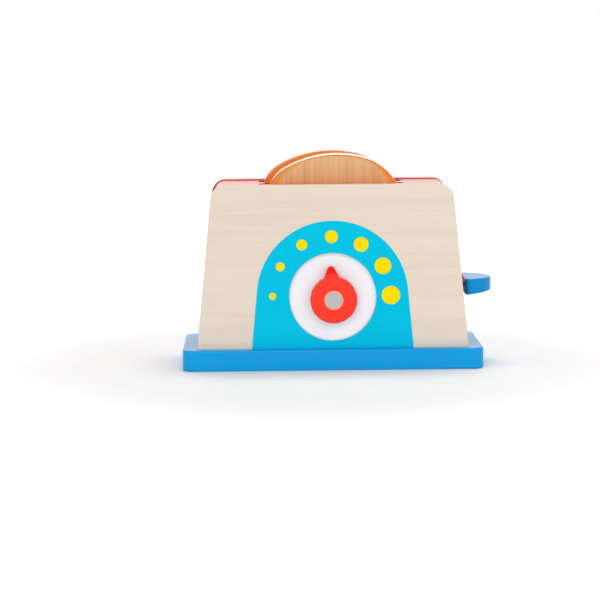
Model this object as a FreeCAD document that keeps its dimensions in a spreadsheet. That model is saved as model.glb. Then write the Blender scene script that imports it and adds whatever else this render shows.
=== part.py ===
import FreeCAD, Part
import math
import os
import Sketcher

# A wooden toy toaster with two slices, a spring-loaded lever and a turning dial.
# +X points at the lever, the front faces -Y and +Z is up.
# The origin is the centre of the base board's underside, and sizes are in millimetres.

doc = FreeCAD.newDocument("toy_toaster")
sheet = doc.addObject("Spreadsheet::Sheet", "Sizes")

SIZES = [
    # Base board
    ("base_end_ledge", 10.5),
    ("base_side_ledge", 7.5),
    ("base_thickness", 15.0),
    ("base_corner_radius", 8.0),
    ("base_edge_radius", 1.2),
    # Front and rear panels
    ("panel_bottom_width", 194.0),
    ("panel_top_width", 171.6),
    ("panel_height", 117.0),
    ("panel_thickness", 8.0),
    ("panel_corner_radius", 11.0),
    ("panel_edge_radius", 0.5),
    ("body_depth", 78.0),
    # Roof and end boards
    ("end_board_thickness", 8.0),
    ("end_recess", 2.2),
    ("roof_recess", 1.0),
    ("roof_thickness", 9.0),
    ("roof_corner_radius", 7.5),
    ("slot_length", 104.0),
    ("slot_width", 18.0),
    ("slot_spacing_share", 0.484),
    ("slot_corner_radius", 5.0),
    ("divider_thickness", 8.0),
    # Carriage, guide rods and springs
    ("carriage_end_clearance", 1.5),
    ("carriage_bolt_clearance", 0.6),
    ("carriage_thickness", 9.0),
    ("carriage_height", 45.5),
    ("lever_travel", 28.0),
    ("groove_depth", 2.0),
    ("groove_clearance", 0.3),
    ("stop_clearance", 0.1),
    ("rod_radius", 2.5),
    ("rod_spacing", 84.0),
    ("rod_socket_depth", 8.0),
    ("running_clearance", 0.05),
    ("spring_wire_radius", 0.45),
    ("spring_mean_radius", 4.4),
    ("spring_turns", 9.0),
    ("spring_well_depth", 5.0),
    ("spring_well_clearance", 0.8),
    ("spring_seat_clearance", 0.3),
    # Stops and glue blocks
    ("stop_block_length", 14.0),
    ("stop_block_width", 20.0),
    ("stop_block_inset", 1.0),
    ("felt_thickness", 2.0),
    ("glue_block_size", 9.0),
    ("glue_block_gap", 0.3),
    # Lever
    ("arm_width", 12.0),
    ("arm_thickness", 5.0),
    ("arm_centre_drop", 4.5),
    ("arm_tenon_length", 22.0),
    ("arm_slot_clearance", 1.0),
    ("pin_radius", 1.5),
    ("pin_spacing", 9.0),
    ("paddle_gap", 1.1),
    ("paddle_length", 20.8),
    ("paddle_width", 50.0),
    ("paddle_thickness", 11.7),
    ("paddle_tip_thinning", 1.8),
    ("paddle_corner_radius", 3.0),
    ("paddle_edge_radius", 1.1),
    ("paddle_mortise_depth", 12.0),
    # Dial
    ("dial_height", 36.4),
    ("recess_radius", 31.0),
    ("recess_depth", 3.0),
    ("plate_thickness", 1.0),
    ("plate_clearance", 0.1),
    ("axis_shift", 0.5),
    ("axis_drop", 1.4),
    ("knob_radius", 16.6),
    ("knob_proud", 5.5),
    ("knob_edge_radius", 1.2),
    ("knob_well_radius", 6.7),
    ("knob_well_depth", 1.0),
    ("pointer_reach", 24.0),
    ("pointer_half_width", 7.2),
    ("pointer_foot", 12.0),
    ("pointer_tip_radius", 2.7),
    ("pointer_rest_angle", 5.0),
    ("bolt_radius", 3.0),
    ("bolt_head_radius", 5.3),
    ("bolt_head_height", 0.8),
    ("bolt_end_proud", 0.4),
    ("washer_radius", 8.0),
    ("washer_thickness", 1.2),
    ("nut_across_flats", 10.0),
    ("nut_thickness", 2.8),
    # Printed scale
    ("print_thickness", 0.15),
    ("arch_radius", 54.0),
    ("arch_flare_angle", 5.5),
    ("arch_shift", 0.2),
    ("arch_rise", 0.8),
    ("dot_shift", 0.8),
    ("dot_rise", 1.3),
    ("dot_circle_radius", 42.2),
    ("dot_count", 7.0),
    ("first_dot_radius", 2.5),
    ("dot_radius_step", 0.68),
    # Slices
    ("slice_end_clearance", 4.0),
    ("front_slice_height", 94.5),
    ("rear_slice_height", 96.0),
    ("slice_thickness", 12.0),
    ("slice_side_clearance", 0.5),
    ("front_slice_shift", 2.0),
    ("rear_slice_shift", -1.0),
    ("crown_radius", 78.0),
    ("crown_offset", 2.0),
    ("left_shoulder_radius", 24.0),
    ("right_shoulder_radius", 35.0),
    ("slice_foot_radius", 8.0),
    ("slice_edge_radius", 1.8),
    # Base screws
    ("screw_inset", 27.0),
    ("screw_length", 29.0),
    ("screw_radius", 1.75),
    ("screw_head_radius", 3.6),
    ("screw_head_height", 2.2),
    ("screw_sink", 0.6),
]

for row, (alias, value) in enumerate(SIZES, start=1):
    sheet.set("A%d" % row, alias)
    sheet.set("B%d" % row, "%g" % value)
    sheet.setAlias("B%d" % row, alias)

# Sizes that follow from the driving ones, as formulas in a second sheet
DERIVED = [
    ("base_width", "Sizes.panel_bottom_width + 2 * Sizes.base_end_ledge"),
    ("base_depth", "Sizes.body_depth + 2 * Sizes.base_side_ledge"),
    ("inner_half_depth", "Sizes.body_depth / 2 - Sizes.panel_thickness"),
    ("panel_slope", "(Sizes.panel_bottom_width - Sizes.panel_top_width) / 2 / Sizes.panel_height"),
    ("roof_underside", "Sizes.panel_height - Sizes.roof_recess - Sizes.roof_thickness"),
    ("end_foot", "Sizes.panel_bottom_width / 2 - Sizes.end_recess"),
    ("roof_low_half", "end_foot - roof_underside * panel_slope"),
    ("roof_high_half", "end_foot - (roof_underside + Sizes.roof_thickness) * panel_slope"),
    ("slot_spacing", "2 * inner_half_depth * Sizes.slot_spacing_share"),
    ("slice_width", "Sizes.slot_length - 2 * Sizes.slice_end_clearance"),
    ("carriage_length", "2 * (roof_low_half - Sizes.end_board_thickness - Sizes.carriage_end_clearance)"),
    ("carriage_depth", "2 * (inner_half_depth - Sizes.washer_thickness - Sizes.nut_thickness"
        " - Sizes.bolt_end_proud - Sizes.carriage_bolt_clearance)"),
    ("carriage_top", "Sizes.base_thickness + Sizes.carriage_height"),
    ("carriage_underside", "carriage_top - Sizes.carriage_thickness"),
    ("slice_foot", "carriage_top - Sizes.groove_depth"),
    ("lane_start", "slot_spacing / 2 - Sizes.slot_width / 2 + Sizes.slice_side_clearance"),
    ("front_lane_start", "-slot_spacing / 2 - Sizes.slot_width / 2 + Sizes.slice_side_clearance"),
    ("arm_low", "carriage_top - Sizes.arm_centre_drop - Sizes.arm_thickness / 2"),
    ("dial_centre", "Sizes.base_thickness + Sizes.dial_height"),
    ("axis_height", "dial_centre - Sizes.axis_drop"),
    ("plate_face", "-Sizes.body_depth / 2 + Sizes.recess_depth"),
    ("knob_back", "plate_face - Sizes.washer_thickness"),
    ("knob_thickness", "Sizes.knob_proud + Sizes.recess_depth"
        " - Sizes.washer_thickness - Sizes.stop_clearance"),
    ("screw_spacing", "Sizes.panel_bottom_width - 2 * Sizes.screw_inset"),
    ("screw_line", "Sizes.body_depth / 2 - Sizes.panel_thickness / 2"),
    ("screw_grip", "Sizes.screw_sink + Sizes.screw_length - Sizes.base_thickness"),
    ("paddle_start", "end_foot + Sizes.paddle_gap"),
    ("arm_start", "carriage_length / 2 - Sizes.arm_tenon_length"),
    ("arm_length", "paddle_start + Sizes.paddle_mortise_depth - arm_start"),
    ("first_pin_place", "arm_start + Sizes.arm_tenon_length / 2 - Sizes.pin_spacing / 2"),
    ("second_pin_place", "arm_start + Sizes.arm_tenon_length / 2 + Sizes.pin_spacing / 2"),
    ("paddle_rim_radius", "((Sizes.paddle_width / 2) ^ 2 + Sizes.paddle_length ^ 2)"
        " / 2 / Sizes.paddle_length"),
    ("stop_block_height", "carriage_underside - Sizes.base_thickness - Sizes.lever_travel"
        " - Sizes.stop_clearance - Sizes.felt_thickness"),
    ("glue_block_end", "end_foot - Sizes.end_board_thickness - Sizes.glue_block_gap"
        " - Sizes.glue_block_size * panel_slope"),
    ("bolt_reach", "Sizes.knob_proud + Sizes.panel_thickness - Sizes.knob_well_depth + Sizes.stop_clearance"
        " + Sizes.washer_thickness + Sizes.nut_thickness + Sizes.bolt_end_proud"),
    ("arch_height", "Sizes.dial_height + Sizes.arch_rise"),
    ("arch_foot", "Sizes.arch_radius / cos(Sizes.arch_flare_angle * 1 deg)"
        " + arch_height * tan(Sizes.arch_flare_angle * 1 deg)"),
    ("spring_foot", "Sizes.base_thickness - Sizes.spring_well_depth"),
    ("spring_well_radius", "Sizes.spring_mean_radius + Sizes.spring_wire_radius"
        " + Sizes.spring_well_clearance"),
]
derived = doc.addObject("Spreadsheet::Sheet", "Places")
for row, (alias, formula) in enumerate(DERIVED, start=1):
    derived.set("A%d" % row, alias)
    derived.set("B%d" % row, "=" + formula)
    derived.setAlias("B%d" % row, alias)
doc.recompute()

NODES = []
PIN_PLACES = ("Places.first_pin_place", "Places.second_pin_place")


def size(alias):
    """A driving or derived size as a number."""
    if alias in dict(SIZES):
        return float(sheet.get(alias))
    return float(derived.get(alias))


def node(item, name):
    """Names a finished sub-part."""
    item.Label = name
    NODES.append(item)
    return item


def bind(item, **formulas):
    for name, formula in formulas.items():
        item.setExpression(name, formula)


def place(item, x="0", y="0", z="0"):
    item.setExpression("Placement.Base.x", x)
    item.setExpression("Placement.Base.y", y)
    item.setExpression("Placement.Base.z", z)
    return item


def turn(item, axis, angle):
    item.Placement = FreeCAD.Placement(item.Placement.Base, FreeCAD.Rotation(FreeCAD.Vector(*axis), angle))
    return item


# Part primitives
def box(name, length, width, height, x, y, z):
    item = doc.addObject("Part::Box", name)
    bind(item, Length=length, Width=width, Height=height)
    return place(item, x, y, z)


def cylinder(name, radius, height, x, y, z, along="Z"):
    item = doc.addObject("Part::Cylinder", name)
    bind(item, Radius=radius, Height=height)
    if along == "Y":
        turn(item, (1, 0, 0), -90)
    return place(item, x, y, z)


def cut(name, base, *tools):
    for number, tool in enumerate(tools):
        item = doc.addObject("Part::Cut", "%s_cut_%d" % (name, number))
        item.Base = base
        item.Tool = tool
        base = item
    return base


def fuse(name, *shapes):
    item = doc.addObject("Part::MultiFuse", name)
    item.Shapes = list(shapes)
    return item


def group(name, *shapes):
    """Identical loose solids that share one node."""
    item = doc.addObject("Part::Compound", name)
    item.Links = list(shapes)
    return item


# Sketches and bodies
def new_body(name, x="0", y="0", z="0"):
    return place(doc.addObject("PartDesign::Body", name), x, y, z)


def new_sketch(body, role, name):
    plane = [feature for feature in body.Origin.OriginFeatures if feature.Role == role][0]
    sketch = body.newObject("Sketcher::SketchObject", name)
    sketch.AttachmentSupport = (plane, [""])
    sketch.MapMode = "FlatFace"
    return sketch


def number_of(formula):
    return float(sheet.evalExpression(formula))


def fix_size(sketch, kind, geometry, vertex, formula):
    """Ties a radius, or a point's distance from the sketch's origin, to a formula."""
    if kind == "Radius":
        rule = Sketcher.Constraint(kind, geometry, number_of(formula))
    else:
        rule = Sketcher.Constraint(kind, -1, 1, geometry, vertex, number_of(formula))
    index = sketch.addConstraint(rule)
    sketch.setExpression("Constraints[%d]" % index, formula)


def fix_point(sketch, geometry, vertex, x, y):
    """Ties one point of a sketch to two formulas, measured from the sketch's origin."""
    for kind, formula, axis in (("DistanceX", x, -2), ("DistanceY", y, -1)):
        if formula == "0":
            sketch.addConstraint(Sketcher.Constraint("PointOnObject", geometry, vertex, axis))
        else:
            fix_size(sketch, kind, geometry, vertex, formula)


def polygon(sketch, points):
    """A closed outline of straight lines, each corner tied to its own pair of formulas."""
    corners = [FreeCAD.Vector(number_of(x), number_of(y), 0) for x, y in points]
    lines = []
    for start, end in zip(corners, corners[1:] + corners[:1]):
        lines.append(sketch.addGeometry(Part.LineSegment(start, end), False))
    for line, following in zip(lines, lines[1:] + lines[:1]):
        sketch.addConstraint(Sketcher.Constraint("Coincident", line, 2, following, 1))
    for line, (x, y) in zip(lines, points):
        fix_point(sketch, line, 1, x, y)
    return lines


def circle(sketch, radius, x="0", y="0"):
    centre = FreeCAD.Vector(number_of(x), number_of(y), 0)
    ring = sketch.addGeometry(Part.Circle(centre, FreeCAD.Vector(0, 0, 1), number_of(radius)), False)
    fix_size(sketch, "Radius", ring, None, radius)
    if (x, y) == ("0", "0"):
        sketch.addConstraint(Sketcher.Constraint("Coincident", ring, 3, -1, 1))
    else:
        fix_point(sketch, ring, 3, x, y)
    return ring


def rectangle(sketch, width, height, x="0", y="0"):
    """A rectangle about a centre."""
    left, right = "%s - (%s) / 2" % (x, width), "%s + (%s) / 2" % (x, width)
    low, high = "%s - (%s) / 2" % (y, height), "%s + (%s) / 2" % (y, height)
    return polygon(sketch, [(left, low), (right, low), (right, high), (left, high)])


def pad(body, sketch, length, name, reversed_way=False):
    item = body.newObject("PartDesign::Pad", name)
    item.Profile = sketch
    item.Reversed = reversed_way
    bind(item, Length=length)
    doc.recompute()
    return item


def pocket(body, sketch, length, name, reversed_way=False, both_ways=False):
    """A cut from the sketch's plane, which must take something off the body."""
    before = body.Shape.Volume
    item = body.newObject("PartDesign::Pocket", name)
    item.Profile = sketch
    item.Reversed = reversed_way
    item.Midplane = both_ways
    bind(item, Length=length)
    doc.recompute()
    if body.Shape.Volume >= before:
        raise RuntimeError("pocket %s takes nothing off" % name)
    return item


def edges_where(item, test):
    return ["Edge%d" % (number + 1) for number, edge in enumerate(item.Shape.Edges) if test(edge)]


def fillet(body, base, test, radius, name):
    item = body.newObject("PartDesign::Fillet", name)
    item.Base = (base, edges_where(base, test))
    bind(item, Radius=radius)
    doc.recompute()
    return item


SAME_LENGTH = 1e-6
SAME_PLACE = 1e-4


def runs_along(edge, axis):
    """Whether an edge is straight and parallel to an axis."""
    if len(edge.Vertexes) != 2 or not isinstance(edge.Curve, Part.Line):
        return False
    span = edge.Vertexes[1].Point - edge.Vertexes[0].Point
    return abs(abs(span.dot(FreeCAD.Vector(*axis))) - span.Length) < SAME_LENGTH


def lies_at(edge, axis, value):
    """Whether a whole edge lies in the plane where one coordinate has a value."""
    bounds = edge.BoundBox
    low = {"x": bounds.XMin, "y": bounds.YMin, "z": bounds.ZMin}[axis]
    high = {"x": bounds.XMax, "y": bounds.YMax, "z": bounds.ZMax}[axis]
    return abs(low - value) < SAME_PLACE and abs(high - value) < SAME_PLACE


# Base board, with the rod sockets, spring wells and screw holes
def make_base_board():
    body = new_body("base_board")
    outline = new_sketch(body, "XY_Plane", "base_outline")
    rectangle(outline, "Places.base_width", "Places.base_depth")
    slab = pad(body, outline, "Sizes.base_thickness", "base_slab")
    corners = fillet(body, slab, lambda edge: runs_along(edge, (0, 0, 1)),
                     "Sizes.base_corner_radius", "base_corners")
    top = size("base_thickness")
    fillet(body, corners, lambda edge: lies_at(edge, "z", top) or lies_at(edge, "z", 0.0),
           "Sizes.base_edge_radius", "base_edges")
    wells = new_sketch(body, "XY_Plane", "spring_wells")
    wells.AttachmentOffset = FreeCAD.Placement(FreeCAD.Vector(0, 0, top), FreeCAD.Rotation())
    wells.setExpression("AttachmentOffset.Base.z", "Sizes.base_thickness")
    for side in ("-", ""):
        circle(wells, "Places.spring_well_radius", side + "Sizes.rod_spacing / 2")
    pocket(body, wells, "Sizes.spring_well_depth", "spring_well_cut")
    sockets = new_sketch(body, "XY_Plane", "rod_sockets")
    sockets.setExpression("AttachmentOffset.Base.z", "Sizes.base_thickness")
    for side in ("-", ""):
        circle(sockets, "Sizes.rod_radius", side + "Sizes.rod_spacing / 2")
    pocket(body, sockets, "Sizes.rod_socket_depth", "rod_socket_cut")
    holes = new_sketch(body, "XY_Plane", "screw_holes")
    sinks = new_sketch(body, "XY_Plane", "screw_sinks")
    for x in ("-Places.screw_spacing / 2", "Places.screw_spacing / 2"):
        for y in ("-Places.screw_line", "Places.screw_line"):
            circle(holes, "Sizes.screw_radius", x, y)
            circle(sinks, "Sizes.screw_head_radius", x, y)
    pocket(body, holes, "Sizes.base_thickness", "screw_hole_cut", True)
    pocket(body, sinks, "Sizes.screw_sink + Sizes.screw_head_height", "screw_sink_cut", True)
    node(body, "base_board")


def add_trapezoid(body, name, low_half, high_half, height):
    """A symmetrical upright outline in the body's own XZ plane, from z = 0 up."""
    outline = new_sketch(body, "XZ_Plane", name)
    polygon(outline, [
        ("-" + low_half, "0"),
        (low_half, "0"),
        (high_half, height),
        ("-" + high_half, height),
    ])
    return outline


def make_panel(name, y):
    """A face board: sloping sides and rounded top corners, with pilot holes for the base screws."""
    body = new_body(name, "0", y, "Sizes.base_thickness")
    outline = add_trapezoid(body, name + "_outline", "Sizes.panel_bottom_width / 2",
                            "Sizes.panel_top_width / 2", "Sizes.panel_height")
    board = pad(body, outline, "Sizes.panel_thickness", name + "_board", True)
    high = size("panel_height")
    rounded = fillet(body, board, lambda edge: runs_along(edge, (0, 1, 0)) and lies_at(edge, "z", high),
                     "Sizes.panel_corner_radius", name + "_corners")
    thickness = size("panel_thickness")
    fillet(body, rounded, lambda edge: not lies_at(edge, "z", 0.0)
           and (lies_at(edge, "y", 0.0) or lies_at(edge, "y", thickness)),
           "Sizes.panel_edge_radius", name + "_edges")
    holes = new_sketch(body, "XY_Plane", name + "_pilot_holes")
    for x in ("-Places.screw_spacing / 2", "Places.screw_spacing / 2"):
        circle(holes, "Sizes.screw_radius", x, "Sizes.panel_thickness / 2")
    pocket(body, holes, "Places.screw_grip", name + "_pilot_cut", True)
    return body


def make_panels():
    rear = make_panel("rear_panel", "Places.inner_half_depth")
    node(rear, "rear_panel")
    front = make_panel("front_panel", "-Sizes.body_depth / 2")
    recess = new_sketch(front, "XZ_Plane", "dial_recess")
    circle(recess, "Sizes.recess_radius", "0", "Sizes.dial_height")
    pocket(front, recess, "Sizes.recess_depth + Sizes.plate_thickness", "dial_recess_cut", False)
    bore = new_sketch(front, "XZ_Plane", "bolt_bore")
    circle(bore, "Sizes.bolt_radius", "Sizes.axis_shift", "Sizes.dial_height - Sizes.axis_drop")
    pocket(front, bore, "Sizes.panel_thickness", "bolt_bore_cut", False)
    node(front, "front_panel")


def make_end_board(name, side):
    """A sloping end board between the panels; side is 1 at the lever and -1 at the other end."""
    sign = "" if side > 0 else "-"
    body = new_body(name, "0", "-Places.inner_half_depth", "Sizes.base_thickness")
    outline = new_sketch(body, "XZ_Plane", name + "_outline")
    inner_foot = "(Places.end_foot - Sizes.end_board_thickness)"
    inner_head = "(Places.roof_low_half - Sizes.end_board_thickness)"
    polygon(outline, [
        (sign + inner_foot, "0"),
        (sign + "Places.end_foot", "0"),
        (sign + "Places.roof_low_half", "Places.roof_underside"),
        (sign + inner_head, "Places.roof_underside"),
    ])
    pad(body, outline, "Places.inner_half_depth * 2", name + "_board", True)
    return body


def make_end_boards():
    node(make_end_board("left_end_board", -1), "left_end_board")
    right = make_end_board("right_end_board", 1)
    slot = new_sketch(right, "YZ_Plane", "lever_slot")
    width = "Sizes.arm_width + 2 * Sizes.arm_slot_clearance"
    height = "Sizes.lever_travel + Sizes.arm_thickness + 2 * Sizes.arm_slot_clearance"
    middle = "Places.arm_low - Sizes.base_thickness + (Sizes.arm_thickness - Sizes.lever_travel) / 2"
    rectangle(slot, width, height, "Places.inner_half_depth", middle)
    pocket(right, slot, "Sizes.panel_bottom_width / 2", "lever_slot_cut", True)
    node(right, "right_end_board")


def make_top_board():
    body = new_body("top_board", "0", "-Places.inner_half_depth",
                    "Places.roof_underside + Sizes.base_thickness")
    outline = add_trapezoid(body, "roof_outline", "Places.roof_low_half", "Places.roof_high_half",
                            "Sizes.roof_thickness")
    board = pad(body, outline, "Places.inner_half_depth * 2", "roof_board", True)
    high = size("roof_thickness")
    fillet(body, board, lambda edge: runs_along(edge, (0, 1, 0)) and lies_at(edge, "z", high),
           "Sizes.roof_corner_radius", "roof_corners")
    slots = new_sketch(body, "XY_Plane", "bread_slots")
    for side in ("-", "+"):
        rectangle(slots, "Sizes.slot_length", "Sizes.slot_width", "0",
                  "Places.inner_half_depth %s Places.slot_spacing / 2" % side)
    opened = pocket(body, slots, "Sizes.roof_thickness", "bread_slot_cut", True)
    fillet(body, opened, lambda edge: runs_along(edge, (0, 0, 1)), "Sizes.slot_corner_radius", "slot_corners")
    node(body, "top_board")


def make_lane_divider():
    """The board between the bread lanes; its lower edge stops the carriage."""
    low = "Places.carriage_top + Sizes.stop_clearance"
    board = box("divider_board", "Places.carriage_length", "Sizes.divider_thickness",
                "Places.roof_underside + Sizes.base_thickness - Places.carriage_top - Sizes.stop_clearance",
                "-Places.carriage_length / 2", "-Sizes.divider_thickness / 2", low)
    sockets = [cylinder("divider_socket_" + side_name, "Sizes.rod_radius", "Sizes.rod_socket_depth",
                        side + "Sizes.rod_spacing / 2", "0", low)
               for side_name, side in (("left", "-"), ("right", ""))]
    node(cut("divider", board, *sockets), "lane_divider")


# Guide rods and the springs round them
def make_guide_rods():
    for side_name, side in (("left", "-"), ("right", "")):
        rod = cylinder("rod_" + side_name, "Sizes.rod_radius",
                       "Places.carriage_top + Sizes.stop_clearance - Sizes.base_thickness"
                       " + 2 * Sizes.rod_socket_depth",
                       side + "Sizes.rod_spacing / 2", "0", "Sizes.base_thickness - Sizes.rod_socket_depth")
        node(rod, "guide_rod_" + side_name)


def arc_from_tangent(start, tangent, end):
    """The circular arc that leaves a point along a tangent and passes through another."""
    chord = end - start
    normal = chord.cross(tangent).cross(tangent)
    normal.normalize()
    offset = chord.dot(chord) / (2 * normal.dot(chord))
    centre = start + normal * offset
    middle = (start + end) / 2 - centre
    middle.normalize()
    return Part.Arc(start, centre + middle * abs(offset), end)


def biarc(start, start_tangent, end, end_tangent):
    """Two arcs that meet smoothly between two points with given tangents."""
    chord = end - start
    total = start_tangent + end_tangent
    spread = 2 * (1 - start_tangent.dot(end_tangent))
    along = chord.dot(total)
    reach = (math.sqrt(along * along + spread * chord.dot(chord)) - along) / spread
    joint = (start + end + (start_tangent - end_tangent) * reach) / 2
    return [arc_from_tangent(start, start_tangent, joint), arc_from_tangent(end, end_tangent * -1, joint)]


def make_spring(name, x):
    """A compression spring from the bottom of its well to the carriage, one unbroken wire."""
    wire_radius = size("spring_wire_radius")
    mean_radius = size("spring_mean_radius")
    low = size("spring_foot") + wire_radius
    high = size("carriage_underside") - size("spring_seat_clearance") - wire_radius
    quarters = int(round(size("spring_turns") * 4))
    rise = (high - low) / quarters
    step = math.pi / 2
    pitch_length = math.hypot(mean_radius * step, rise)
    points = []
    tangents = []
    for quarter in range(quarters + 1):
        angle = quarter * step
        points.append(FreeCAD.Vector(mean_radius * math.cos(angle), mean_radius * math.sin(angle),
                                     low + rise * quarter))
        tangents.append(FreeCAD.Vector(-mean_radius * step * math.sin(angle),
                                       mean_radius * step * math.cos(angle), rise) / pitch_length)
    edges = []
    for quarter in range(quarters):
        arcs = biarc(points[quarter], tangents[quarter], points[quarter + 1], tangents[quarter + 1])
        edges += [arc.toShape() for arc in arcs]
    path = Part.Wire(Part.__sortEdges__(edges))
    ring = Part.Wire([Part.Circle(points[0], tangents[0], wire_radius).toShape()])
    item = doc.addObject("Part::Feature", name)
    item.Shape = path.makePipeShell([ring], True, False)
    place(item, x)
    print(name, "pitch", round(rise * 4, 3), "gap between turns", round(rise * 4 - 2 * wire_radius, 3),
          "volume ratio", round(item.Shape.Volume / (math.pi * wire_radius ** 2 * path.Length), 4))
    node(item, name)


def make_springs():
    make_spring("spring_left", "-Sizes.rod_spacing / 2")
    make_spring("spring_right", "Sizes.rod_spacing / 2")


# Carriage that carries the slices, and its stops
def make_carriage():
    board = box("carriage_slab", "Places.carriage_length", "Places.carriage_depth",
                "Sizes.carriage_thickness", "-Places.carriage_length / 2", "-Places.carriage_depth / 2",
                "Places.carriage_underside")
    groove_width = "Sizes.slice_thickness + 2 * Sizes.groove_clearance"
    tools = [box("groove_" + lane, "Places.carriage_length", groove_width, "Sizes.groove_depth",
                 "-Places.carriage_length / 2", start + " - Sizes.groove_clearance", "Places.slice_foot")
             for lane, start in (("front", "Places.front_lane_start"), ("rear", "Places.lane_start"))]
    tools += [cylinder("rod_hole_" + side_name, "Sizes.rod_radius + Sizes.running_clearance",
                       "Sizes.carriage_thickness", side + "Sizes.rod_spacing / 2", "0",
                       "Places.carriage_underside")
              for side_name, side in (("left", "-"), ("right", ""))]
    tools.append(box("arm_mortise", "Sizes.arm_tenon_length", "Sizes.arm_width", "Sizes.arm_thickness",
                     "Places.arm_start", "-Sizes.arm_width / 2", "Places.arm_low"))
    tools += [cylinder("carriage_pin_hole_%d" % number, "Sizes.pin_radius", "Sizes.carriage_thickness",
                       x, "0", "Places.carriage_underside")
              for number, x in enumerate(PIN_PLACES)]
    node(cut("carriage", board, *tools), "carriage_board")


def make_stops():
    blocks = []
    pads = []
    left_x = "-Places.carriage_length / 2 + Sizes.stop_block_inset"
    right_x = "Places.carriage_length / 2 - Sizes.stop_block_inset - Sizes.stop_block_length"
    for side_name, x in (("left", left_x), ("right", right_x)):
        blocks.append(box("stop_block_" + side_name, "Sizes.stop_block_length", "Sizes.stop_block_width",
                          "Places.stop_block_height", x, "-Sizes.stop_block_width / 2",
                          "Sizes.base_thickness"))
        pads.append(box("stop_felt_" + side_name, "Sizes.stop_block_length", "Sizes.stop_block_width",
                        "Sizes.felt_thickness", x, "-Sizes.stop_block_width / 2",
                        "Sizes.base_thickness + Places.stop_block_height"))
    node(group("stop_block_pair", *blocks), "stop_blocks")
    node(group("stop_felt_pair", *pads), "stop_felts")


def make_glue_blocks():
    blocks = []
    edge = "Sizes.glue_block_size"
    right_x = "Places.glue_block_end - Sizes.glue_block_size"
    rear_y = "Places.inner_half_depth - Sizes.glue_block_size"
    for x_name, x in (("left", "-Places.glue_block_end"), ("right", right_x)):
        for y_name, y in (("front", "-Places.inner_half_depth"), ("rear", rear_y)):
            blocks.append(box("glue_block_%s_%s" % (x_name, y_name), edge, edge, edge,
                              x, y, "Sizes.base_thickness"))
    node(group("glue_block_set", *blocks), "glue_blocks")


def make_base_screws():
    screws = []
    for x_name, x in (("left", "-Places.screw_spacing / 2"), ("right", "Places.screw_spacing / 2")):
        for y_name, y in (("front", "-Places.screw_line"), ("rear", "Places.screw_line")):
            tag = "%s_%s" % (x_name, y_name)
            head = cylinder("screw_head_" + tag, "Sizes.screw_head_radius", "Sizes.screw_head_height",
                            x, y, "Sizes.screw_sink")
            shank = cylinder("screw_shank_" + tag, "Sizes.screw_radius", "Sizes.screw_length",
                             x, y, "Sizes.screw_sink")
            screws.append(fuse("screw_" + tag, head, shank))
    node(group("base_screw_set", *screws), "base_screws")


# Lever
def make_lever():
    arm = box("arm_bar", "Places.arm_length", "Sizes.arm_width", "Sizes.arm_thickness",
              "Places.arm_start", "-Sizes.arm_width / 2", "Places.arm_low")
    holes = [cylinder("arm_pin_hole_%d" % number, "Sizes.pin_radius", "Sizes.arm_thickness",
                      x, "0", "Places.arm_low")
             for number, x in enumerate(PIN_PLACES)]
    node(cut("arm", arm, *holes), "lever_arm")
    pins = [cylinder("arm_pin_%d" % number, "Sizes.pin_radius", "Sizes.carriage_thickness", x, "0",
                     "Places.carriage_underside")
            for number, x in enumerate(PIN_PLACES)]
    node(group("arm_pin_pair", *pins), "arm_pins")
    body = new_body("lever_paddle", "0", "0",
                    "Places.arm_low + (Sizes.arm_thickness - Sizes.paddle_thickness) / 2")
    outline = new_sketch(body, "XY_Plane", "paddle_outline")
    draw_paddle(outline)
    pad(body, outline, "Sizes.paddle_thickness", "paddle_blank")
    taper = new_sketch(body, "XZ_Plane", "paddle_taper")
    tip = "Places.paddle_start + Sizes.paddle_length"
    polygon(taper, [("Places.paddle_start", "0"), (tip, "0"), (tip, "Sizes.paddle_tip_thinning")])
    thinned = pocket(body, taper, "Sizes.paddle_width", "paddle_taper_cut", False, True)
    rounded = fillet(body, thinned, lambda edge: runs_along(edge, (0, 0, 1)),
                     "Sizes.paddle_corner_radius", "paddle_corners")
    fillet(body, rounded, lambda edge: not runs_along(edge, (0, 0, 1)),
           "Sizes.paddle_edge_radius", "paddle_edges")
    mortise = new_sketch(body, "YZ_Plane", "paddle_mortise")
    mortise.setExpression("AttachmentOffset.Base.z", "Places.paddle_start")
    rectangle(mortise, "Sizes.arm_width", "Sizes.arm_thickness", "0", "Sizes.paddle_thickness / 2")
    pocket(body, mortise, "Sizes.paddle_mortise_depth", "paddle_mortise_cut", True)
    node(body, "lever_paddle")


def draw_paddle(sketch):
    """The paddle seen from above: a straight root and one wide arc through the tip."""
    root = size("paddle_start")
    half = size("paddle_width") / 2
    front, back = FreeCAD.Vector(root, -half, 0), FreeCAD.Vector(root, half, 0)
    tip = FreeCAD.Vector(root + size("paddle_length"), 0, 0)
    rim = sketch.addGeometry(Part.Arc(front, tip, back), False)
    straight = sketch.addGeometry(Part.LineSegment(back, front), False)
    sketch.addConstraint(Sketcher.Constraint("Coincident", rim, 2, straight, 1))
    sketch.addConstraint(Sketcher.Constraint("Coincident", straight, 2, rim, 1))
    fix_point(sketch, straight, 1, "Places.paddle_start", "Sizes.paddle_width / 2")
    fix_point(sketch, straight, 2, "Places.paddle_start", "-Sizes.paddle_width / 2")
    fix_size(sketch, "Radius", rim, None, "Places.paddle_rim_radius")


# Dial
def make_dial_plate():
    disc = cylinder("plate_disc", "Sizes.recess_radius - Sizes.plate_clearance", "Sizes.plate_thickness",
                    "0", "Places.plate_face", "Places.dial_centre", "Y")
    hole = cylinder("plate_hole", "Sizes.bolt_radius", "Sizes.plate_thickness",
                    "Sizes.axis_shift", "Places.plate_face", "Places.axis_height", "Y")
    node(cut("plate", disc, hole), "dial_plate")


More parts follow.
